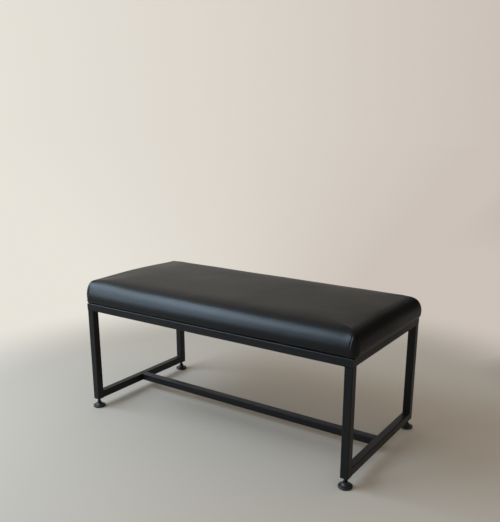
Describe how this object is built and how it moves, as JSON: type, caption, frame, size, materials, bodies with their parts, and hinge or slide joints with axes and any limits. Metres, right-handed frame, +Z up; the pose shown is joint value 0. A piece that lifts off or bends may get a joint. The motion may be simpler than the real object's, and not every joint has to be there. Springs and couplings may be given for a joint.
{
  "type": "padded bench",
  "caption": "Padded bench: a black leatherette seat on a welded square-tube steel frame with low end rails, a middle stretcher and screw-adjusted levelling feet.",
  "frame": {"origin": "on the floor under the middle of the bench", "axes": "+X along the seat to the right, +Y to the back, +Z up"},
  "size_m": [1.017, 0.497, 0.463],
  "materials": {
    "frame_paint": "satin",
    "leatherette": "satin",
    "foam": "matte",
    "plywood": "matte",
    "dust_fabric": "matte",
    "zinc": "satin",
    "foot_plastic": "matte",
    "grip_rubber": "matte",
    "stud_steel": "satin"
  },
  "bodies": {
    "bench": {"cover_staples": "zinc", "dust_cloth": "dust_fabric", "foot_rail_left": "frame_paint", "foot_rail_right": "frame_paint", "frame_welds": "frame_paint", "leg_back_left": "frame_paint", "leg_back_right": "frame_paint", "leg_front_left": "frame_paint", "leg_front_right": "frame_paint", "leg_insert_back_left": "foot_plastic", "leg_insert_back_right": "foot_plastic", "leg_insert_front_left": "foot_plastic", "leg_insert_front_right": "foot_plastic", "seat_board": "plywood", "seat_bolts": "zinc", "seat_cover": "leatherette", "seat_foam": "foam", "seat_rail_back": "frame_paint", "seat_rail_front": "frame_paint", "seat_rail_left": "frame_paint", "seat_rail_right": "frame_paint", "seat_tab_back_left": "frame_paint", "seat_tab_back_right": "frame_paint", "seat_tab_front_left": "frame_paint", "seat_tab_front_right": "frame_paint", "seat_tab_left": "frame_paint", "seat_tab_right": "frame_paint", "seat_washers": "zinc", "stretcher": "frame_paint", "tee_nuts": "zinc"},
    "foot_front_left": {"foot_base_front_left": "foot_plastic", "foot_grip_front_left": "grip_rubber"},
    "stud_front_left": {"foot_stud_front_left": "stud_steel"},
    "foot_front_right": {"foot_base_front_right": "foot_plastic", "foot_grip_front_right": "grip_rubber"},
    "stud_front_right": {"foot_stud_front_right": "stud_steel"},
    "foot_back_left": {"foot_base_back_left": "foot_plastic", "foot_grip_back_left": "grip_rubber"},
    "stud_back_left": {"foot_stud_back_left": "stud_steel"},
    "foot_back_right": {"foot_base_back_right": "foot_plastic", "foot_grip_back_right": "grip_rubber"},
    "stud_back_right": {"foot_stud_back_right": "stud_steel"}
  },
  "joints": [
    {"name": "foot_height_front_left", "type": "slide", "parent": "bench", "child": "foot_front_left", "axis": [0, 0, 1], "range_m": [-0.01001, 0.01201]},
    {"name": "foot_turn_front_left", "type": "hinge", "parent": "foot_front_left", "child": "stud_front_left", "pos_m": [-0.4875, -0.2275, 0.0095], "axis": [0, 0, 1], "range_deg": [-2400, 2880]},
    {"name": "foot_height_front_right", "type": "slide", "parent": "bench", "child": "foot_front_right", "axis": [0, 0, 1], "range_m": [-0.01001, 0.01201]},
    {"name": "foot_turn_front_right", "type": "hinge", "parent": "foot_front_right", "child": "stud_front_right", "pos_m": [0.4875, -0.2275, 0.0095], "axis": [0, 0, 1], "range_deg": [-2400, 2880]},
    {"name": "foot_height_back_left", "type": "slide", "parent": "bench", "child": "foot_back_left", "axis": [0, 0, 1], "range_m": [-0.01001, 0.01201]},
    {"name": "foot_turn_back_left", "type": "hinge", "parent": "foot_back_left", "child": "stud_back_left", "pos_m": [-0.4875, 0.2275, 0.0095], "axis": [0, 0, 1], "range_deg": [-2400, 2880]},
    {"name": "foot_height_back_right", "type": "slide", "parent": "bench", "child": "foot_back_right", "axis": [0, 0, 1], "range_m": [-0.01001, 0.01201]},
    {"name": "foot_turn_back_right", "type": "hinge", "parent": "foot_back_right", "child": "stud_back_right", "pos_m": [0.4875, 0.2275, 0.0095], "axis": [0, 0, 1], "range_deg": [-2400, 2880]}
  ],
  "couplings": [
    {"joint": "foot_height_front_left", "follows": "foot_turn_front_left", "m_per_rad": 0.00023873},
    {"joint": "foot_height_front_right", "follows": "foot_turn_front_right", "m_per_rad": 0.00023873},
    {"joint": "foot_height_back_left", "follows": "foot_turn_back_left", "m_per_rad": 0.00023873},
    {"joint": "foot_height_back_right", "follows": "foot_turn_back_right", "m_per_rad": 0.00023873}
  ]
}
